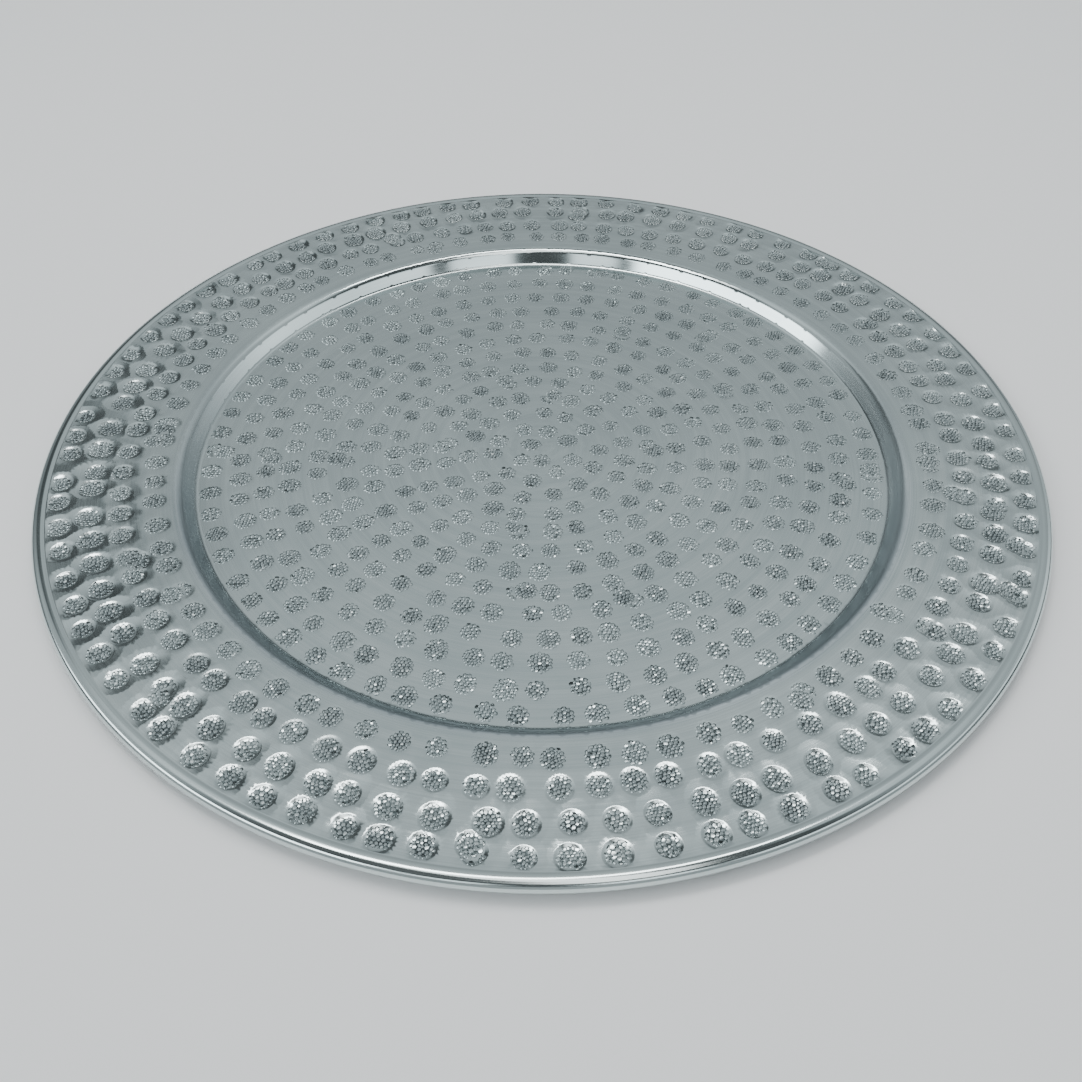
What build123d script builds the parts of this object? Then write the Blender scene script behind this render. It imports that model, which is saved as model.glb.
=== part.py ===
"""Round offering plate: a pressed and hammered metal sheet whose edge is rolled over a wire.

Millimetres. +Z is up, and the origin is the centre of the flat base that the plate rests on.
"""

import math
import os

from build123d import *

# Driving dimensions
PLATE_DIAMETER = 330.0  # over the rolled edge
SHEET_THICKNESS = 0.8
WIRE_DIAMETER = 2.4
WIRE_CLEARANCE = 0.01  # all round, between the wire and the sheet rolled over it
WIRE_BUTT_GAP = 0.5  # between the two ends of the wire
WELL_DIAMETER = 231.8  # at the foot of the wall
WELL_DEPTH = 5.0  # from the foot of the wall to the shoulder
WALL_ANGLE = 50.0  # above the horizontal, in degrees
RIM_RISE = 1.5  # from the shoulder to the crease beside the rolled edge

# The edge climbs from the crease to a crest, falls away, and rolls round the wire to stop below the rim
CREASE_TO_CREST = 1.4
CREST_TO_ROLL = 1.43
WIRE_BELOW_CREASE = 1.6
ROLL_START_ANGLE = 70.0  # on the wire's section, counted from the outward direction
ROLL_STOP_ANGLE = -195.0

# Bend radii of the middle of the sheet
WALL_FOOT_BEND = 1.9
SHOULDER_BEND = 3.4
CREASE_BEND = 1.5
CREST_BEND = 3.0

HALF_SHEET = SHEET_THICKNESS / 2
ROLL_MIDDLE_RADIUS = WIRE_DIAMETER / 2 + HALF_SHEET
ROLL_OUTER_RADIUS = WIRE_DIAMETER / 2 + SHEET_THICKNESS


def wire_centre():
    """The centre of the wire's section, as (radius, height)."""
    crease_height = HALF_SHEET + WELL_DEPTH + RIM_RISE
    return (PLATE_DIAMETER / 2 - ROLL_OUTER_RADIUS, crease_height - WIRE_BELOW_CREASE)


def on_roll(angle):
    """The point of the rolled sheet's middle at that angle round the wire, as (radius, height)."""
    radius, height = wire_centre()
    turn = math.radians(angle)
    return (
        radius + ROLL_MIDDLE_RADIUS * math.cos(turn),
        height + ROLL_MIDDLE_RADIUS * math.sin(turn),
    )


def sheet_corners():
    """Where the middle of the sheet bends, as (radius, height), from the centre out to the roll."""
    wall_foot = WELL_DIAMETER / 2
    shoulder = wall_foot + WELL_DEPTH / math.tan(math.radians(WALL_ANGLE))
    roll_start = on_roll(ROLL_START_ANGLE)
    fall = math.radians(90.0 - ROLL_START_ANGLE)
    crest = (
        roll_start[0] - CREST_TO_ROLL * math.cos(fall),
        roll_start[1] + CREST_TO_ROLL * math.sin(fall),
    )
    return [
        (0, HALF_SHEET),
        (wall_foot, HALF_SHEET),
        (shoulder, HALF_SHEET + WELL_DEPTH),
        (crest[0] - CREASE_TO_CREST, HALF_SHEET + WELL_DEPTH + RIM_RISE),
        crest,
        roll_start,
    ]


def beside(edge, share, distance):
    """The point that lies distance to the left of edge, at that share of its length."""
    return edge @ share + (edge % share).rotate(Axis.Z, 90) * distance


def parallel(edge, distance):
    """The line or arc that runs beside edge, at distance to its left."""
    start, halfway, end = (beside(edge, share, distance) for share in (0, 0.5, 1))
    if edge.geom_type == GeomType.LINE:
        return Line(start, end)
    return ThreePointArc(start, halfway, end)


def sheet_outline():
    """The section of the sheet on one side of the axis, as a closed face on the XZ plane."""
    radii = [WALL_FOOT_BEND, SHOULDER_BEND, CREASE_BEND, CREST_BEND]
    middle = FilletPolyline(*sheet_corners(), radius=radii).edges()
    halfway_angle = (ROLL_START_ANGLE + ROLL_STOP_ANGLE) / 2
    roll = ThreePointArc(on_roll(ROLL_START_ANGLE), on_roll(halfway_angle), on_roll(ROLL_STOP_ANGLE))
    edges = [parallel(edge, side) for edge in [*middle, roll] for side in (HALF_SHEET, -HALF_SHEET)]
    edges.append(Line((0, 0), (0, SHEET_THICKNESS)))
    edges.append(Line(beside(roll, 1, HALF_SHEET), beside(roll, 1, -HALF_SHEET)))
    return Plane.XZ * make_face(edges)


def plate_sheet():
    """Floor, wall, rim and rolled edge: one sheet of metal."""
    return revolve(sheet_outline(), Axis.Z)


def edge_wire():
    """The round wire inside the rolled edge, bent to a ring whose two ends nearly meet."""
    radius, height = wire_centre()
    section = Plane.XZ * Pos(radius, height) * Circle(WIRE_DIAMETER / 2 - WIRE_CLEARANCE)
    gap_angle = math.degrees(WIRE_BUTT_GAP / radius)
    return revolve(section, Axis.Z, 360.0 - gap_angle)


PARTS = {
    "plate_sheet": plate_sheet,
    "edge_wire": edge_wire,
}

os.makedirs("parts", exist_ok=True)
for name, make in PARTS.items():
    export_step(make(), os.path.join("parts", name + ".step"))
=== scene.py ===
import math
import random

import bpy
import numpy as np
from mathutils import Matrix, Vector
from mathutils.geometry import delaunay_2d_cdt


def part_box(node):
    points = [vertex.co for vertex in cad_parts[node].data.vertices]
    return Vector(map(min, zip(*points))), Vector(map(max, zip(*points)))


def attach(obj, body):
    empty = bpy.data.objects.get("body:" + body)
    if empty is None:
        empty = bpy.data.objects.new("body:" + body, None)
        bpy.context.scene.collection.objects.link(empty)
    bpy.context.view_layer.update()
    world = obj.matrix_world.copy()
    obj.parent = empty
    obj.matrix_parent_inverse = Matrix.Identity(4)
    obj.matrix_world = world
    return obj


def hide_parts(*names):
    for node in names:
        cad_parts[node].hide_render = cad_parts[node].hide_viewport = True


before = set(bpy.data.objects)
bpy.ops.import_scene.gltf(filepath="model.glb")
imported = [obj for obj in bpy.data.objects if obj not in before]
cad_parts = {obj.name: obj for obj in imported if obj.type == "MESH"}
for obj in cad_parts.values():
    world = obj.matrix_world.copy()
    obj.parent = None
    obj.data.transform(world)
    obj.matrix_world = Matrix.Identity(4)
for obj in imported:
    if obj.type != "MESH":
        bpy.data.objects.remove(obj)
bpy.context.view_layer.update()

# Lengths are in millimetres unless a line says metres, and MM turns them into Blender's metres.
MM = 0.001
FULL_TURN = 2 * math.pi

# Read from the frame: the sheet's outer edge and the wire that it is rolled over
sheet_low, sheet_high = (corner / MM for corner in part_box("plate_sheet"))
wire_low, wire_high = (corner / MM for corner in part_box("edge_wire"))
EDGE_RADIUS = (sheet_high.x - sheet_low.x) / 2
WIRE_RADIUS = (wire_high.z - wire_low.z) / 2
WIRE_RING_RADIUS = wire_high.x - WIRE_RADIUS
WIRE_HEIGHT = (wire_high.z + wire_low.z) / 2
ROLL_OUTER_RADIUS = EDGE_RADIUS - WIRE_RING_RADIUS
SHEET_THICKNESS = 0.8  # as in the CAD
ROLL_INNER_RADIUS = ROLL_OUTER_RADIUS - SHEET_THICKNESS

# The pressed form of the sheet
WELL_RADIUS = 115.9  # at the foot of the wall
WELL_DEPTH = 5.0
WALL_SLOPE = math.tan(math.radians(50))
WALL_RUN = WELL_DEPTH / WALL_SLOPE
RIM_RISE = 1.5  # from the shoulder to the crease
FOOT_HALF_WIDTH = 0.7  # of the bend at the foot of the wall
SHOULDER_HALF_WIDTH = 1.4

# The edge climbs from a crease to a crest, falls away and rolls round the wire. An angle is that of
# a face's normal, in degrees from straight up towards the outside.
CREASE_RADIUS = WIRE_RING_RADIUS - 2.2
HAMMERED_RADIUS = CREASE_RADIUS - 0.35  # where the hammered mesh ends and the edge begins
CREST_BEND = 3.0
CREST_RUN = 0.46  # the straight stretch between the crest and the roll
CREASE_ANGLE = -15.9
CREST_ANGLE = 20.0
ROLL_STOP_ANGLE = 285.0

CAMERA_BACK = 287.0  # from the plate's axis to the camera
CAMERA_HEIGHT = 248.6  # over the surface that the plate rests on
CAMERA_ASIDE = -0.3
CAMERA_PITCH = 45.66  # below the horizontal, in degrees
CAMERA_LENS = 36.7
CAMERA_SENSOR = 36.0  # its width

# Radiance of the surroundings, a studio as the metal reflects it
BAND_RADIANCE = 0.57  # the light band behind the plate
SIDE_RADIANCE = 0.09
LOW_RADIANCE = 0.14  # behind the plate near the horizon
NEAR_RADIANCE = 0.46  # on the camera's side near the horizon
WINDOW_RADIANCE = 5.0  # of the brightest window beside the camera

# The windows, as (azimuth, share of WINDOW_RADIANCE). The azimuth counts in degrees from straight
# behind the plate towards the right, so the camera stands at 180.
WINDOWS = [
    (-180, 0.0), (-169.5, 0.0), (-167.5, 0.34), (-153, 0.34), (-149, 0.03), (-146, 0.03), (-142, 0.9),
    (-125, 1.0), (-80, 0.9), (-74, 0.05), (-60, 0.03), (36, 0.03), (54, 0.12), (79, 0.2), (108, 0.26),
    (136, 0.34), (138.5, 0.0), (143.5, 0.0), (146, 0.34), (167, 0.4), (170, 0.0), (180, 0.0),
]

# The hammer marks
FIRST_FLOOR_RING = 4.6  # from the foot of the wall to the middle of the outermost marks on the floor
FLOOR_RING_PITCH = 9.4
MARK_SPACING = 10.5  # along a ring on the floor
DOUBLE_STRIKES = 0.035  # the share of marks that a second blow landed beside
PEBBLE_PITCH = 1.14  # between the pebbles that the hammer's face leaves in each mark
UNDER_WIDEN = 1.15  # how much wider a mark's swelling on the underside is
UNDER_SHARE = 0.7  # and its height, against the depth on top

# How steeply a pebble's normals lean outwards, and how much of a crevice is seen, in three places:
# at its low points, on its sides and on its top. The crevice share darkens the colour, as dirt and painted
# shade.
LOW_TILT, SIDE_TILT, TOP_TILT = 1.1, 0.9, 0.09
LOW_CREVICE, SIDE_CREVICE, TOP_CREVICE = 1.0, 0.8, 0.26

# The mesh's points: steps along what they draw, and gaps that a new point keeps from the others
SEGMENTS = 360  # round every ring that isn't hammered
LOW_GAP = 0.12  # of the low points between pebbles
BEND_GAP = 0.3
DEEP_GAP = 0.24  # on ovals round deep bowls and their dishes
SHALLOW_GAP = 0.5
PLAIN_STEP = 1.3
PLAIN_GAP = 0.95
UNDER_STEP = 3.0
UNDER_GAP = 2.2
WALL_MARGIN = 0.2  # beside the wall's bends, kept free of marks

OUTSIDE, LOW = -1, -2  # tags of points outside the pebbled patches and between pebbles
rng = random.Random(7)


# ---------------------------------------------------------------- the pressed form

def form_bends(side):
    """Where a face of the sheet bends, as (radius, slope after it, half width of the bend).

    side is 1 for the top face and -1 for the underside: each corner moves along its own mitre.
    """
    shoulder = WELL_RADIUS + WALL_RUN
    corners = [
        (WELL_RADIUS, WALL_SLOPE, FOOT_HALF_WIDTH),
        (shoulder, RIM_RISE / (CREASE_RADIUS - WELL_RADIUS - WALL_RUN), SHOULDER_HALF_WIDTH),
    ]
    bends = []
    before = 0.0
    for radius, after, half_width in corners:
        middle = (math.atan(before) + math.atan(after)) / 2
        half_turn = (math.atan(after) - math.atan(before)) / 2
        shift = SHEET_THICKNESS / 2 * math.sin(middle) / math.cos(half_turn)
        bends.append((radius - side * shift, after, half_width))
        before = after
    return bends


def form(radius, side=1):
    """Height and slope of the pressed sheet at these radii, before any hammering."""
    height = np.full(radius.shape, SHEET_THICKNESS * (1 + side) / 2)
    slope = np.zeros(radius.shape)
    before = 0.0
    for bend, after, half_width in form_bends(side):
        past = radius - bend
        inside = np.clip(past + half_width, 0, 2 * half_width)
        height += (after - before) * (inside ** 2 / (4 * half_width) + np.maximum(past - half_width, 0))
        slope += (after - before) * inside / (2 * half_width)
        before = after
    return height, slope


# ---------------------------------------------------------------- the hammer marks

class Mark:
    """One hammer mark: a pebbled patch in a small steep bowl, in the middle of a broad shallow dish.

    long_way is the bearing along which bowl and dish are longest, near that of the plate's radius.
    """

    def __init__(self, x, y, patch, bowl_depth, dish, dish_depth, pebble_height, dish_length=1.1):
        self.x = x
        self.y = y
        self.patch = patch * rng.uniform(0.9, 1.1)
        self.bowl = self.patch + rng.uniform(0.6, 1.0)
        self.bowl_depth = bowl_depth * rng.uniform(0.75, 1.2)
        self.dish = dish * rng.uniform(0.92, 1.08)
        self.dish_depth = dish_depth * rng.uniform(0.8, 1.2)
        self.dish_length = dish_length * rng.uniform(0.95, 1.05)  # along the long way, against its width
        self.pebble_height = pebble_height * rng.uniform(0.85, 1.2)
        # how dark the mark's crevices and pebble sides are painted: partly dirt, partly painted shade
        self.grime_and_shade = min(1.0, rng.uniform(0.6, 0.95) + 0.6 * max(0.0, rng.random() - 0.8))
        self.turn = rng.uniform(0, FULL_TURN)
        self.long_way = math.atan2(y, x) + rng.uniform(-0.35, 0.35)
        self.stretch = rng.uniform(0.0, 0.16)  # how much longer than wide the bowl and patch are
        offset_way = rng.uniform(0, FULL_TURN)
        offset = rng.uniform(0, 0.4)
        self.bowl_x = x + offset * math.cos(offset_way)
        self.bowl_y = y + offset * math.sin(offset_way)

    def outline(self, size, length, count):
        """Places on an oval round the bowl's middle: size is half its width, length its length by width."""
        cos, sin = math.cos(self.long_way), math.sin(self.long_way)
        return [
            (self.bowl_x + along * length * cos - across * sin,
             self.bowl_y + along * length * sin + across * cos)
            for along, across in circle(size, count, rng.random())
        ]


def ring_of_marks(radius, count, jitter, centre=(0.0, 0.0), **shape):
    """Marks struck one after another round a circle by hand, so none is quite in its place."""
    start = rng.uniform(0, FULL_TURN)
    waves = [(rng.uniform(0.1, 0.6), times, rng.uniform(0, FULL_TURN)) for times in (2, 3, 5)]
    marks = []
    for i in range(count):
        angle = start + FULL_TURN * (i + rng.uniform(-jitter, jitter)) / count
        wander = sum(size * math.sin(times * angle + phase) for size, times, phase in waves)
        out = radius + 0.6 * wander + rng.uniform(-0.5, 0.5)
        place = (centre[0] + out * math.cos(angle), centre[1] + out * math.sin(angle))
        marks.append(Mark(*place, **shape))
        if rng.random() < DOUBLE_STRIKES:
            aside = rng.uniform(0, FULL_TURN)
            step = rng.uniform(2.2, 3.6)
            marks.append(Mark(place[0] + step * math.cos(aside), place[1] + step * math.sin(aside), **shape))
    return marks


def hammer_marks():
    """All the marks: rings on the floor, from the wall inwards, and four rings on the rim.

    The floor's rings get closer together inwards, and their middle drifts off the plate's axis.
    """
    marks = []
    radius = WELL_RADIUS - FIRST_FLOOR_RING
    pitch = FLOOR_RING_PITCH
    while radius > 2:
        inward = 1 - radius / WELL_RADIUS
        centre = (-3.4 * inward, -3.6 * inward)
        count = max(1, round(FULL_TURN * radius / (MARK_SPACING - inward)))
        pressed = 1 if marks else 0  # the outermost marks don't bend the floor, as the wall is beside them
        marks += ring_of_marks(radius, count, 0.14, centre, patch=3.25 - 0.2 * inward, dish=5.4,
                               bowl_depth=0.04 * pressed, dish_depth=0.025 * pressed, pebble_height=0.2)
        radius -= pitch
        pitch -= 0.1
    rim = (
        dict(radius=128.8, count=80, patch=3.2, bowl_depth=0.07,
             dish=5.2, dish_depth=0.04, pebble_height=0.21),
        dict(radius=138.2, count=86, patch=3.2, bowl_depth=0.25,
             dish=5.2, dish_depth=0.15, pebble_height=0.22),
        dict(radius=148.1, count=84, patch=3.35, bowl_depth=0.36,
             dish=5.4, dish_depth=0.36, dish_length=1.4, pebble_height=0.22),
        dict(radius=157.2, count=86, patch=3.15, bowl_depth=0.38,
             dish=5.5, dish_depth=0.34, dish_length=1.2, pebble_height=0.22),
    )
    for ring in rim:
        marks += ring_of_marks(jitter=0.16, centre=(0.3, 0.6), **ring)
    return marks


def bowls(x, y, marks, widen=1.0):
    """Depth of the hammered bowls and dishes at these points, and its slopes along x and along y.

    widen scales the size of every mark. Where two marks meet, the depths join as a power sum does,
    which leaves a narrow ridge between them.
    """
    power = 8.0
    shallowest = 1e-4  # where it is shallower than this, the slopes count as none
    total = np.zeros(x.shape)
    total_x = np.zeros(x.shape)
    total_y = np.zeros(x.shape)
    order = np.argsort(x)
    sorted_x = x[order]
    for mark in marks:
        reach = max(mark.dish * mark.dish_length, mark.bowl * (1 + mark.stretch)) * widen
        first, last = np.searchsorted(sorted_x, (mark.bowl_x - reach, mark.bowl_x + reach))
        near = order[first:last]
        near = near[np.abs(y[near] - mark.bowl_y) < reach]
        cos, sin = math.cos(mark.long_way), math.sin(mark.long_way)
        dx, dy = x[near] - mark.bowl_x, y[near] - mark.bowl_y
        along, across = dx * cos + dy * sin, dy * cos - dx * sin
        bowl_size, dish_size = (mark.bowl * widen) ** 2, (mark.dish * widen) ** 2
        bowl_long, dish_long = (1 + mark.stretch) ** 2, mark.dish_length ** 2
        out = (along ** 2 / bowl_long + across ** 2) / bowl_size
        bowl = np.clip(1 - out ** 3, 0, None)
        dish = np.clip(1 - (along ** 2 / dish_long + across ** 2) / dish_size, 0, None)
        depth = mark.dish_depth * dish ** 1.2 + mark.bowl_depth * bowl ** 2
        # the derivatives of that depth along the mark's own two ways
        bowl_steep = -12 * mark.bowl_depth * bowl * out ** 2 / bowl_size
        dish_steep = -2.4 * mark.dish_depth * dish ** 0.2 / dish_size
        slope_along = (bowl_steep / bowl_long + dish_steep / dish_long) * along
        slope_across = (bowl_steep + dish_steep) * across
        share = depth ** (power - 1)
        total[near] += share * depth
        total_x[near] += share * (slope_along * cos - slope_across * sin)
        total_y[near] += share * (slope_along * sin + slope_across * cos)
    depth = total ** (1 / power)
    scale = np.where(depth > shallowest, np.maximum(depth, shallowest) ** (1 - power), 0)
    return depth, total_x * scale, total_y * scale


def pebble_lattice(mark):
    """The pebbles of one mark on a hexagonal lattice, each with the six low points round it.

    A low point is shared by three lattice places, so it is named by the first of them and by
    whether its triangle points up or down.
    """
    pitch = PEBBLE_PITCH * rng.uniform(0.92, 1.08)
    reach = math.ceil(mark.patch / pitch * 1.2) + 2  # in steps of the lattice, to past the patch's end
    across = (pitch * math.cos(mark.turn), pitch * math.sin(mark.turn))
    along = (pitch * math.cos(mark.turn + math.pi / 3), pitch * math.sin(mark.turn + math.pi / 3))
    places = {}
    inside = set()
    for i in range(-reach, reach + 1):
        for j in range(-reach, reach + 1):
            dx = i * across[0] + j * along[0] + rng.uniform(-0.3, 0.3)
            dy = i * across[1] + j * along[1] + rng.uniform(-0.3, 0.3)
            bearing = math.atan2(dy, dx) - mark.long_way
            edge = mark.patch * (1 + mark.stretch * (0.4 + 0.6 * math.cos(2 * bearing)))
            far = math.hypot(dx, dy)
            past = far - edge
            if past < 0:
                inside.add((i, j))
            if abs(past) < pitch:
                # the outer pebbles, and the places just beyond them, follow the patch's outline
                moved = edge + math.copysign(pitch / 2, past) + rng.uniform(-0.12, 0.12)
                dx, dy = dx * moved / far, dy * moved / far
            places[i, j] = (mark.x + dx, mark.y + dy)

    def low(i, j, up):
        trio = ((i, j), (i + 1, j), (i, j + 1)) if up else ((i + 1, j), (i + 1, j + 1), (i, j + 1))
        points = [places[place] for place in trio]
        return sum(point[0] for point in points) / 3, sum(point[1] for point in points) / 3

    pebbles = []
    lows = {}
    for i, j in sorted(inside):
        around = [(i, j, True), (i - 1, j, False), (i - 1, j, True),
                  (i - 1, j - 1, False), (i, j - 1, True), (i, j - 1, False)]
        lows.update((name, low(*name)) for name in around)
        pebbles.append((places[i, j], around))
    return pebbles, lows


# ---------------------------------------------------------------- the points of the mesh

class Cloud:
    """Points for a Delaunay mesh, kept some distance apart by a grid of cells."""

    CELL = 1.0

    def __init__(self):
        self.points = []
        self.tags = []
        self.edges = []
        self.cells = {}

    def clear(self, x, y, gap):
        """Whether no point lies nearer than the gap."""
        column, row = math.floor(x / self.CELL), math.floor(y / self.CELL)
        reach = math.ceil(gap / self.CELL)
        for i in range(column - reach, column + reach + 1):
            for j in range(row - reach, row + reach + 1):
                for px, py in self.cells.get((i, j), ()):
                    if (px - x) ** 2 + (py - y) ** 2 < gap * gap:
                        return False
        return True

    def add(self, x, y, gap, tag=OUTSIDE):
        """Adds the point and gives its number, or None if another one is too near."""
        if gap and not self.clear(x, y, gap):
            return None
        self.points.append((x, y))
        self.tags.append(tag)
        self.cells.setdefault((math.floor(x / self.CELL), math.floor(y / self.CELL)), []).append((x, y))
        return len(self.points) - 1


def circle(radius, count, phase=0.0, centre=(0.0, 0.0)):
    """Places spread evenly round a circle, turned on by phase of a step."""
    return [
        (centre[0] + radius * math.cos(FULL_TURN * (i + phase) / count),
         centre[1] + radius * math.sin(FULL_TURN * (i + phase) / count))
        for i in range(count)
    ]


def form_rings(side):
    """Radii of the rings that follow the bends at the foot of the wall and at the shoulder."""
    radii = []
    bends = form_bends(side)
    for radius, _, half_width in bends:
        radii += [radius + half_width * share for share in (-1.0, -0.5, 0.0, 0.5, 1.0)]
    foot, shoulder = bends
    start, end = foot[0] + foot[2], shoulder[0] - shoulder[2]
    radii += [start + (end - start) * share for share in (0.33, 0.67)]
    return sorted(radii)


def on_wall(x, y):
    """Whether the place is on the wall, which the hammer leaves smooth, or in its bends."""
    foot, shoulder = form_bends(1)
    inner, outer = foot[0] - foot[2] - WALL_MARGIN, shoulder[0] + shoulder[2] + WALL_MARGIN
    return inner < math.hypot(x, y) < outer


def add_pebbles(cloud, marks, pebbles):
    """Adds each mark's pebbles to the cloud and to pebbles, as (x, y, height, darkening of its crevices by
    dirt and painted shade, lean in x, lean in y).

    The last mark struck comes first, since it wipes out what it lands on.
    """
    near = 8  # further apart than this, two marks never meet
    for number in reversed(range(len(marks))):
        mark = marks[number]
        later = [other for other in marks[number + 1:]
                 if abs(other.x - mark.x) < near and abs(other.y - mark.y) < near]
        lattice, lows = pebble_lattice(mark)
        placed = {}
        for name, (x, y) in lows.items():
            hidden = any(math.hypot(x - other.x, y - other.y) < other.patch for other in later)
            if not hidden and math.hypot(x, y) < HAMMERED_RADIUS - 0.3 and not on_wall(x, y):
                placed[name] = cloud.add(x, y, LOW_GAP, LOW)
        for (x, y), around in lattice:
            if any(placed.get(name) is None for name in around):
                continue
            top = rng.uniform(0.52, 0.72)  # how much of the pebble its top takes up
            far = math.hypot(x - mark.x, y - mark.y) / mark.patch
            height = mark.pebble_height * rng.uniform(0.7, 1.25) * (1 - 0.5 * min(1.0, far) ** 3)
            for name in around:
                low_x, low_y = lows[name]
                share = top + rng.uniform(-0.13, 0.13)
                cloud.add(x + share * (low_x - x), y + share * (low_y - y), 0, len(pebbles))
            for name, following in zip(around, around[1:] + around[:1]):
                cloud.edges.append((placed[name], placed[following]))
            lean = (rng.gauss(0, 0.085), rng.gauss(0, 0.085))
            # the crevices' darkening, dirt and painted shade, is a little lighter towards the patch's edge
            pebbles.append((x, y, height, mark.grime_and_shade * (1 - 0.3 * min(1.0, far) ** 2), *lean))


def top_points(marks, pebbles):
    """Points of the top face. A point on a pebble has the pebble's number as its tag."""
    cloud = Cloud()
    for x, y in circle(HAMMERED_RADIUS, SEGMENTS):
        cloud.add(x, y, 0)
    add_pebbles(cloud, marks, pebbles)
    for radius in form_rings(1):
        for x, y in circle(radius, SEGMENTS):
            cloud.add(x, y, BEND_GAP)
    for mark in marks:
        deep = mark.bowl_depth > 0.15
        count = 26 if deep else 18
        ovals = []  # where the bowl is steep and where the dish begins
        for size in (0.82, 0.89, 0.95, 1.01) if deep else (0.9, 1.05):
            ovals += mark.outline(size * mark.bowl, 1 + mark.stretch, count)
        if mark.dish_depth > 0.2:
            for size in (0.95, 1.0, 1.06):
                ovals += mark.outline(size * mark.dish, mark.dish_length, count)
        for x, y in ovals:
            if math.hypot(x, y) < HAMMERED_RADIUS - 0.5 and not on_wall(x, y):
                cloud.add(x, y, DEEP_GAP if deep else SHALLOW_GAP)
    add_plain_points(cloud, PLAIN_STEP, PLAIN_GAP)
    return cloud


def add_plain_points(cloud, step, gap):
    """Fills the disc with rings of points, step apart, where others leave the gap free."""
    for radius in np.arange(1.0, HAMMERED_RADIUS - 0.8, step):
        for x, y in circle(radius, max(6, round(FULL_TURN * radius / step)), rng.random()):
            cloud.add(x, y, gap)


def under_points(marks):
    """Points of the underside, which shows the marks of the rim as soft swellings."""
    cloud = Cloud()
    for radius in [HAMMERED_RADIUS] + form_rings(-1):
        for x, y in circle(radius, SEGMENTS):
            cloud.add(x, y, 0)
    for mark in marks:
        cloud.add(mark.bowl_x, mark.bowl_y, 1.0)
        for radius, count in ((mark.bowl * 0.55, 6), (mark.bowl * 1.1, 9)):
            for x, y in circle(radius, count, rng.random(), (mark.bowl_x, mark.bowl_y)):
                if math.hypot(x, y) < HAMMERED_RADIUS - 0.7:
                    cloud.add(x, y, 1.2)
    add_plain_points(cloud, UNDER_STEP, UNDER_GAP)
    return cloud


# ---------------------------------------------------------------- the hammered sheet

def surface_of(cloud):
    """Delaunay triangles of the points: places, faces, tags and the numbers of the outer ring."""
    flat = [Vector(point) for point in cloud.points]
    places, _, faces, sources = delaunay_2d_cdt(flat, cloud.edges, [], 0, 1e-7)[:4]
    tags = np.array([cloud.tags[source[0]] if source else LOW for source in sources])
    number_of = {number: place for place, source in enumerate(sources) for number in source}
    ring = [number_of[number] for number in range(SEGMENTS)]
    return np.array([tuple(place) for place in places]), np.array(faces), tags, ring


def polar(centre, radius, angle):
    """The point at that radius and angle from the centre, in the section of the sheet."""
    turn = math.radians(angle)
    return centre[0] + radius * math.sin(turn), centre[1] + radius * math.cos(turn)


def edge_section(side):
    """One face of the edge, from the crease to the roll's end, as (radius, height, normal's angle)."""
    wire = (WIRE_RING_RADIUS, WIRE_HEIGHT)
    middle_radius = (ROLL_OUTER_RADIUS + ROLL_INNER_RADIUS) / 2
    offset = side * SHEET_THICKNESS / 2
    fall = math.radians(CREST_ANGLE)
    inward = polar(wire, middle_radius - CREST_BEND, CREST_ANGLE)
    crest = (inward[0] - CREST_RUN * math.cos(fall), inward[1] + CREST_RUN * math.sin(fall))
    bend = CREST_BEND + offset
    section = [(*polar(crest, bend, angle), angle) for angle in np.linspace(CREASE_ANGLE, CREST_ANGLE, 10)]
    roll_steps = 26 if side > 0 else 16
    section += [(*polar(wire, middle_radius + offset, angle), angle)
                for angle in np.linspace(CREST_ANGLE, ROLL_STOP_ANGLE, roll_steps)]
    return section


def crease_section(side):
    """The last of the rim and the small bend at the crease, in the same form as edge_section."""
    slope = form_bends(side)[-1][1]
    half_width = 0.14
    radius = CREASE_RADIUS - side * 0.06  # each face's corner moves along its mitre
    height = form(np.array([radius]), side)[0][0]
    climb = math.tan(math.radians(-CREASE_ANGLE))
    return [
        (radius - half_width, height - half_width * slope, -math.degrees(math.atan(slope))),
        (radius, height + 0.02, CREASE_ANGLE / 2),  # the bend cuts the corner
        (radius + half_width, height + half_width * climb, CREASE_ANGLE),
    ]


def hammered_share(radius):
    """How far the bowls show at these radii, and its slope: not at all on the wall."""
    foot, shoulder = form_bends(1)
    share = np.ones(radius.shape)
    share_slope = np.zeros(radius.shape)
    fade = 1.6
    mid_wall = shoulder[0] - 3
    for edge, way in ((foot[0] - foot[2], -1), (shoulder[0] + shoulder[2], 1)):
        near = (radius - mid_wall) * way > 0
        part = np.clip(way * (radius - edge) / fade, 0, 1)
        share = np.where(near, part ** 2 * (3 - 2 * part), share)
        share_slope = np.where(near, 6 * way * part * (1 - part) / fade, share_slope)
    return share, share_slope


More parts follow.
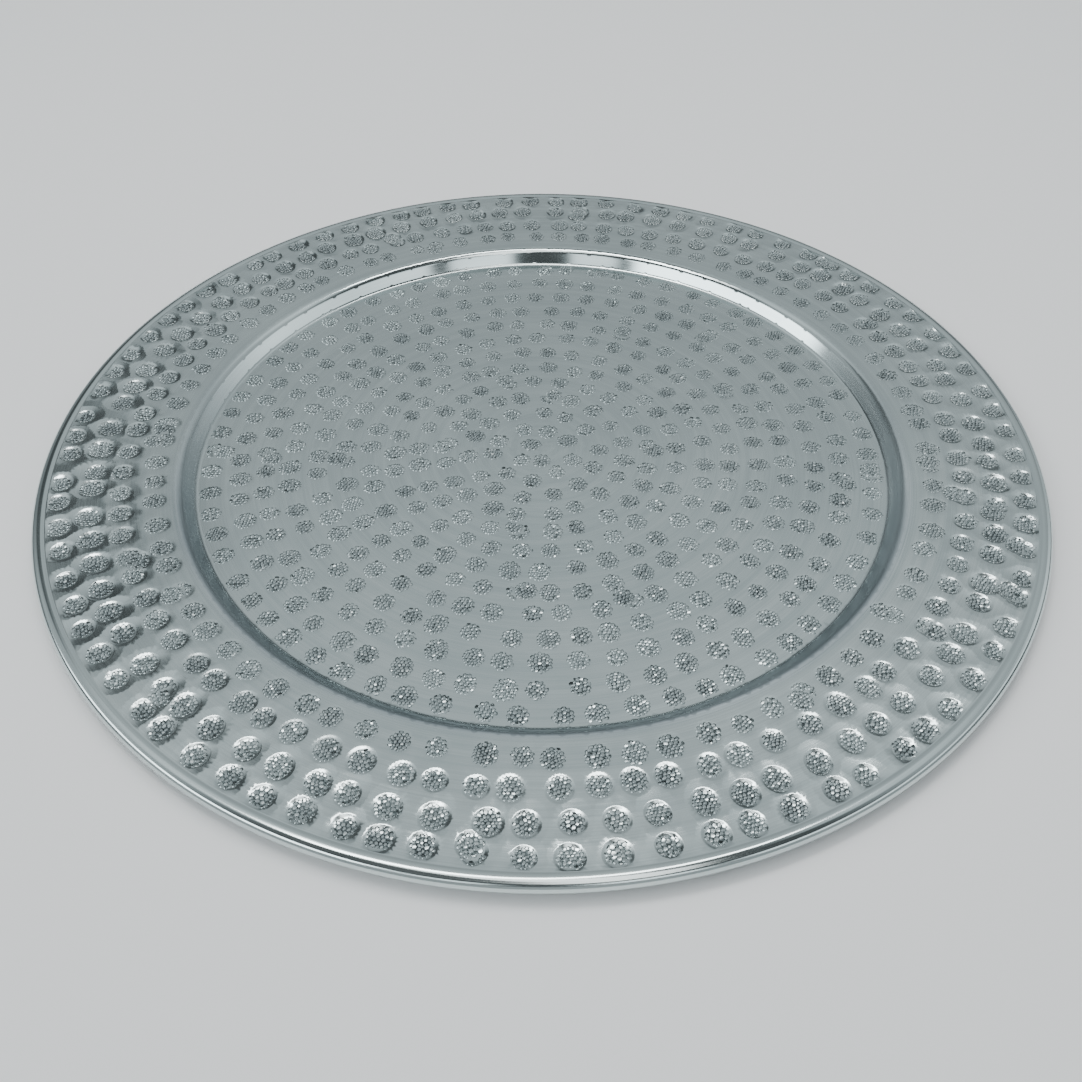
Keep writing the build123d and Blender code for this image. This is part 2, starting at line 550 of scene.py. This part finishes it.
def hammered_sheet(marks):
    """The whole sheet as one closed mesh: hammered top, rolled edge and softly swollen underside."""
    pebbles = []
    top, faces_top, tags, top_ring = surface_of(top_points(marks, pebbles))
    under, faces_under, _, under_ring = surface_of(under_points(marks))
    pebbles = np.array(pebbles)

    radius = np.hypot(*top.T)
    height, slope = form(radius)
    depth, *depth_slopes = bowls(*top.T, marks)
    share, share_slope = hammered_share(radius)
    out = top / np.maximum(radius, 1e-9)[:, None]
    slopes = (slope - depth * share_slope)[:, None] * out - share[:, None] * np.column_stack(depth_slopes)
    raised = np.where(tags >= 0, pebbles[np.maximum(tags, 0), 2], 0)
    top_xyz = np.column_stack((top, height - depth * share + raised))

    under_height = form(np.hypot(*under.T), -1)[0]
    swelling = bowls(*under.T, marks, UNDER_WIDEN)[0] * UNDER_SHARE
    lowest = 0.3 * under_height  # so the floor stays flat, and the wall doesn't swell below it
    under_xyz = np.column_stack((under, np.maximum(under_height - swelling, lowest)))

    faces = [tuple(face) for face in faces_top]
    faces += [tuple(len(top) + face[::-1]) for face in faces_under]
    outer = crease_section(1) + edge_section(1)
    inner = edge_section(-1)[::-1] + crease_section(-1)[::-1]
    turns = FULL_TURN * np.arange(SEGMENTS) / SEGMENTS
    rings = [np.array(top_ring)]
    rows = []
    directions = np.column_stack((np.cos(turns), np.sin(turns)))
    for number, (ring_radius, ring_height, _) in enumerate(outer + inner):
        rows.append(np.column_stack((ring_radius * directions, np.full(SEGMENTS, ring_height))))
        rings.append(len(top) + len(under) + number * SEGMENTS + np.arange(SEGMENTS))
    rings.append(len(top) + np.array(under_ring))
    for nearer, further in zip(rings, rings[1:]):
        following, beyond = np.roll(nearer, -1), np.roll(further, -1)
        faces += list(zip(nearer.tolist(), further.tolist(), beyond.tolist(), following.tolist()))

    mesh = bpy.data.meshes.new("hammered_sheet")
    mesh.from_pydata(np.concatenate([top_xyz, under_xyz] + rows) * MM, [], faces)
    mesh.update()

    top_normals, crevice = pebble_shading(faces_top, tags, top, slopes, pebbles)
    normals = np.zeros((len(mesh.loops), 3))
    normals[:len(top_normals)] = top_normals
    edge_start = 3 * (len(faces_top) + len(faces_under))
    edge_normals(normals, edge_start, outer, slope[top_ring[0]], directions)
    mesh.normals_split_custom_set(normals)
    paint = np.zeros(len(mesh.loops), np.float32)
    paint[:len(crevice)] = crevice
    mesh.attributes.new("crevice", "FLOAT", "CORNER").data.foreach_set("value", paint)
    piece = bpy.data.objects.new("hammered_sheet", mesh)
    bpy.context.scene.collection.objects.link(piece)
    return piece


def pebble_shading(faces, tags, places, slopes, pebbles):
    """Exact normals for the corners of the top face, and how darkly each corner is painted for its crevice,
    as dirt and painted shade.

    Bowls are smooth. A pebble has a top that is nearly flat and leans a little, and its sides fall
    steeply to the crevice round it.
    """
    face_tags = tags[faces]
    pebble = face_tags.max(axis=1)
    whole = ((face_tags == pebble[:, None]) | (face_tags == LOW)).all(axis=1) & (pebble >= 0)
    loops = faces.ravel()
    pebble_of_loop = np.repeat(np.where(whole, pebble, -1), 3)
    on_pebble = pebble_of_loop >= 0
    low = on_pebble & (tags[loops] == LOW)
    away = places[loops] - pebbles[pebble_of_loop, :2]
    away /= np.maximum(np.hypot(*away.T), 1e-9)[:, None]
    side = on_pebble & np.repeat((face_tags == LOW).any(axis=1), 3)
    tilt = np.where(low, LOW_TILT, np.where(side, SIDE_TILT, TOP_TILT))[:, None]
    lean = np.where(side[:, None], 0, pebbles[pebble_of_loop, 4:])
    bent = np.where(on_pebble[:, None], away * tilt + lean, 0)
    normals = np.column_stack((bent - slopes[loops], np.ones(len(loops))))
    normals /= np.linalg.norm(normals, axis=1)[:, None]
    # dirt and painted shade: the low points darkest, then the pebbles' sides, their tops least
    share = np.where(low, LOW_CREVICE, np.where(side, SIDE_CREVICE, TOP_CREVICE))
    crevice = np.where(on_pebble, pebbles[pebble_of_loop, 3] * share, 0)
    return normals, crevice


def edge_normals(normals, start, section, first_slope, out):
    """Exact normals for the outer face of the edge, written into the array of the mesh's corners.

    start is the number of its first corner, and out holds the directions away from the plate's axis.
    """
    angles = [-math.degrees(math.atan(first_slope))] + [angle for _, _, angle in section]
    following = np.roll(out, -1, axis=0)
    for number, (before, after) in enumerate(zip(angles, angles[1:])):
        block = np.empty((SEGMENTS, 4, 3))
        for corner, (angle, direction) in enumerate(
                ((before, out), (after, out), (after, following), (before, following))):
            turn = math.radians(angle)
            block[:, corner, :2] = math.sin(turn) * direction
            block[:, corner, 2] = math.cos(turn)
        first = start + number * SEGMENTS * 4
        normals[first:first + SEGMENTS * 4] = block.reshape(-1, 3)


# ---------------------------------------------------------------- materials

class Wiring:
    """Short ways to add nodes to a node tree. A value is a number, a colour or another node's output."""

    def __init__(self, tree):
        self.nodes = tree.nodes
        self.links = tree.links

    def put(self, socket, value):
        """Links the socket to an output, or sets it to a plain value."""
        if isinstance(value, bpy.types.NodeSocket):
            self.links.new(value, socket)
        else:
            socket.default_value = value

    def node(self, kind, **values):
        """A new node, with these values on the inputs of those names."""
        node = self.nodes.new(kind)
        for name, value in values.items():
            self.put(node.inputs[name.replace("_", " ").title()], value)
        return node

    def maths(self, operation, *values):
        node = self.nodes.new("ShaderNodeMath")
        node.operation = operation
        for socket, value in zip(node.inputs, values):
            self.put(socket, value)
        return node.outputs[0]

    def product(self, first, *others):
        """All the values multiplied."""
        for other in others:
            first = self.maths("MULTIPLY", first, other)
        return first

    def ranged(self, value, start, end, to_start, to_end, way="LINEAR"):
        """value, taken from between start and end to between to_start and to_end, and held there."""
        node = self.node("ShaderNodeMapRange", value=value, from_min=start, from_max=end,
                         to_min=to_start, to_max=to_end)
        node.interpolation_type = way
        return node.outputs["Result"]

    def fading(self, value, start, end, to_start=0.0, to_end=1.0):
        """As ranged, but with a soft start and end."""
        return self.ranged(value, start, end, to_start, to_end, "SMOOTHSTEP")

    def noise(self, vector, scale, detail):
        return self.node("ShaderNodeTexNoise", vector=vector, scale=scale, detail=detail).outputs["Fac"]

    def mixed(self, first, second, share):
        """The two colours mixed, with that share of the second."""
        node = self.nodes.new("ShaderNodeMix")
        node.data_type = "RGBA"
        for name, value in (("A", first), ("B", second), ("Factor", share)):
            self.put(node.inputs[name], value)
        return node.outputs["Result"]

    def position(self, kind):
        """The position that a texture sees, whole and as x, y and z."""
        place = self.nodes.new("ShaderNodeTexCoord").outputs[kind]
        return place, *self.node("ShaderNodeSeparateXYZ", vector=place).outputs


def new_material(name):
    material = bpy.data.materials.new(name)
    material.use_nodes = True
    wiring = Wiring(material.node_tree)
    return material, wiring, wiring.nodes["Principled BSDF"].inputs


def sheet_metal():
    """Satin sheet metal: brushed in circles, with dirt and painted shade between the pebbles, painted shade
    on the front of the wall, and an unevenly polished wall.
    """
    material, wiring, shader = new_material("hammered_metal")
    maths, product, ranged = wiring.maths, wiring.product, wiring.ranged
    place, x, y, _ = wiring.position("Object")
    radius = maths("SQRT", maths("ADD", product(x, x), product(y, y)))
    bearing = maths("ARCTAN2", y, x)

    def circular(across, along):
        """Noise drawn out round the plate, with that many waves in a metre of radius and in a radian."""
        stretched = wiring.node("ShaderNodeCombineXYZ", x=product(radius, across), y=product(bearing, along))
        return wiring.noise(stretched.outputs[0], 1.0, 4.0)

    def between_noise(noise, low, high):
        """The noise's usual range, taken to between low and high."""
        return ranged(noise, 0.3, 0.7, low, high)

    brushing = circular(2600.0, 3.0)
    turned = circular(420.0, 0.9)
    cloudy = wiring.noise(place, 24.0, 4.0)
    grain = wiring.noise(place, 900.0, 2.0)
    # how darkly the pebbles' crevices and sides are painted, with dirt and painted shade
    painted = wiring.nodes.new("ShaderNodeAttribute")
    painted.attribute_name = "crevice"
    crevice = painted.outputs["Fac"]

    foot, shoulder = WELL_RADIUS * MM, (WELL_RADIUS + WALL_RUN) * MM
    wall = product(ranged(radius, foot - 0.9 * MM, foot + 0.6 * MM, 0, 1),
                   ranged(radius, shoulder + 0.9 * MM, shoulder + 3.4 * MM, 1, 0))
    edge = ranged(radius, (CREASE_RADIUS - 0.5) * MM, (CREASE_RADIUS + 0.2) * MM, 0, 1)

    rough = maths("ADD", between_noise(cloudy, 0.14, 0.19), between_noise(brushing, -0.02, 0.03))
    rough = maths("MULTIPLY_ADD", crevice, 0.22, rough)
    rougher = product(wall, ranged(y, -20 * MM, 50 * MM, 1.2, -0.45))  # dull in front, shiny at the back
    rougher = maths("MULTIPLY_ADD", edge, -0.15, rougher)
    wiring.put(shader["Roughness"], product(rough, maths("ADD", 1.0, rougher)))

    light_share = maths("ADD", between_noise(cloudy, 0.15, 0.75), between_noise(turned, -0.45, 0.45))
    light_share = maths("ADD", light_share, between_noise(brushing, -0.3, 0.3))
    colour = wiring.mixed((0.56, 0.638, 0.64, 1), (0.67, 0.75, 0.745, 1), light_share)
    front_shade = product(wall, ranged(y, -50 * MM, 60 * MM, 0.5, 0.0))  # painted shade: the wall's colour is darker in front
    colour = wiring.mixed(colour, (0.22, 0.27, 0.32, 1), front_shade)
    # dirt and painted shade: the pebbles' crevices and sides darkened to near black
    colour = wiring.mixed(colour, (0.05, 0.06, 0.066, 1), product(crevice, 0.95))
    wiring.put(shader["Base Color"], colour)

    relief = maths("ADD", brushing, product(grain, 0.5))
    bump = wiring.node("ShaderNodeBump", strength=0.07, distance=0.04 * MM, height=relief)
    wiring.put(shader["Normal"], bump.outputs["Normal"])
    tangent = wiring.nodes.new("ShaderNodeTangent")
    tangent.direction_type = "RADIAL"
    tangent.axis = "Z"
    wiring.put(shader["Tangent"], tangent.outputs["Tangent"])
    wiring.put(shader["Metallic"], 1.0)
    wiring.put(shader["Anisotropic"], 0.35)
    return material


def drawn_wire():
    """Bright drawn wire, a little cloudy in colour and roughness."""
    material, wiring, shader = new_material("drawn_wire")
    cloudy = wiring.noise(wiring.position("Object")[0], 1500.0, 3.0)
    colour = wiring.mixed((0.48, 0.48, 0.47, 1), (0.60, 0.60, 0.59, 1), cloudy)
    wiring.put(shader["Base Color"], colour)
    wiring.put(shader["Roughness"], wiring.ranged(cloudy, 0, 1, 0.25, 0.45))
    wiring.put(shader["Metallic"], 1.0)
    return material


def pale_floor_material():
    material, wiring, shader = new_material("pale_floor")
    wiring.put(shader["Base Color"], (0.9, 0.9, 0.9, 1))
    wiring.put(shader["Roughness"], 0.9)
    return material


# ---------------------------------------------------------------- the studio

def make_camera():
    data = bpy.data.cameras.new("camera")
    data.lens = CAMERA_LENS
    data.sensor_width = CAMERA_SENSOR
    data.clip_start = 10 * MM
    camera = bpy.data.objects.new("camera", data)
    bpy.context.scene.collection.objects.link(camera)
    camera.location = Vector((CAMERA_ASIDE, -CAMERA_BACK, CAMERA_HEIGHT)) * MM
    camera.rotation_euler = (math.radians(90 - CAMERA_PITCH), 0, 0)
    bpy.context.scene.camera = camera


def area_light(name, place, size, radiance):
    """A soft rectangular light that faces the plate. Its place and size are in metres."""
    data = bpy.data.lights.new(name, "AREA")
    data.shape = "RECTANGLE"
    data.size, data.size_y = size
    data.energy = radiance * math.pi * size[0] * size[1]
    light = bpy.data.objects.new(name, data)
    bpy.context.scene.collection.objects.link(light)
    light.location = place
    light.rotation_euler = (-Vector(place)).to_track_quat("-Z", "Y").to_euler()


def make_world():
    """Soft grey surroundings: a light band behind the plate, and windows at its sides and beside the camera.

    Angles are in degrees, and the azimuth counts as it does for WINDOWS.
    """
    world = bpy.data.worlds.new("studio")
    bpy.context.scene.world = world
    world.use_nodes = True
    wiring = Wiring(world.node_tree)
    maths, product, fading = wiring.maths, wiring.product, wiring.fading
    _, x, y, z = wiring.position("Generated")
    elevation = maths("DEGREES", maths("ARCSINE", z))
    azimuth = maths("DEGREES", maths("ARCTAN2", x, y))
    aside = maths("ABSOLUTE", azimuth)

    # the band, brighter upwards and on its upper flanks, with a dark gap at the left
    band = product(fading(elevation, 18, 30), fading(elevation, 62, 72, 1, 0))
    band = product(band, fading(elevation, 28, 60, 0.85, 1.22))
    flank = product(fading(aside, 12, 32), fading(elevation, 44, 54))
    band = maths("MULTIPLY_ADD", product(band, flank), 0.4, band)
    behind = fading(aside, 75, 100, 1, 0)
    gap = product(fading(azimuth, -22.5, -25.5), fading(azimuth, -58, -46), fading(elevation, 43, 47, 1, 0))
    band = product(band, behind, maths("SUBTRACT", 1.0, gap))

    low = product(fading(elevation, 10, 25, 1, 0), behind)
    near = product(fading(aside, 85, 110), fading(elevation, 32, 40, 1, 0))
    strength = SIDE_RADIANCE
    for share, radiance in ((band, BAND_RADIANCE), (low, LOW_RADIANCE), (near, NEAR_RADIANCE)):
        strength = maths("MULTIPLY_ADD", share, radiance - SIDE_RADIANCE, strength)

    # the windows, whose middle sinks from the camera's side towards the back
    glass = wiring.nodes.new("ShaderNodeValToRGB")
    wiring.put(glass.inputs["Fac"], wiring.ranged(azimuth, -180, 180, 0, 1))
    stops = glass.color_ramp.elements
    while len(stops) < len(WINDOWS):
        stops.new(0.5)
    for stop, (where, share) in zip(stops, WINDOWS):
        stop.position = (where + 180) / 360
        stop.color = (share, share, share, 1)
    turned = maths("DIVIDE", maths("SUBTRACT", 180.0, aside), 101.0)
    middle = maths("MULTIPLY_ADD", product(turned, turned), -20.0, 48.0)
    off_middle = maths("ABSOLUTE", maths("SUBTRACT", elevation, middle))
    windows = product(glass.outputs["Color"], fading(off_middle, 7, 11, 1, 0))
    strength = maths("MULTIPLY_ADD", windows, WINDOW_RADIANCE, strength)

    background = wiring.nodes["Background"].inputs
    wiring.put(background["Color"], (0.9, 0.97, 1.0, 1))
    wiring.put(background["Strength"], strength)


def make_floor():
    """A pale square that reaches size metres each way, just clear of the plate's base."""
    size = 3.0
    below = -0.02 * MM
    corners = [(-size, -size, below), (size, -size, below), (size, size, below), (-size, size, below)]
    mesh = bpy.data.meshes.new("floor")
    mesh.from_pydata(corners, [], [(0, 1, 2, 3)])
    mesh.materials.append(pale_floor_material())
    floor = bpy.data.objects.new("floor", mesh)
    bpy.context.scene.collection.objects.link(floor)


# ---------------------------------------------------------------- the scene

make_camera()
make_world()
make_floor()
area_light("overhead", (-0.1, -0.12, 1.2), (1.1, 0.36), 2.4)
area_light("strip", (-0.05, 0.13, 1.15), (1.0, 0.2), 8.0)

sheet = hammered_sheet(hammer_marks())
sheet.data.materials.append(sheet_metal())
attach(sheet, "root")
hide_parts("plate_sheet")

wire_metal = drawn_wire()
for material_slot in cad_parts["edge_wire"].material_slots:
    material_slot.material = wire_metal
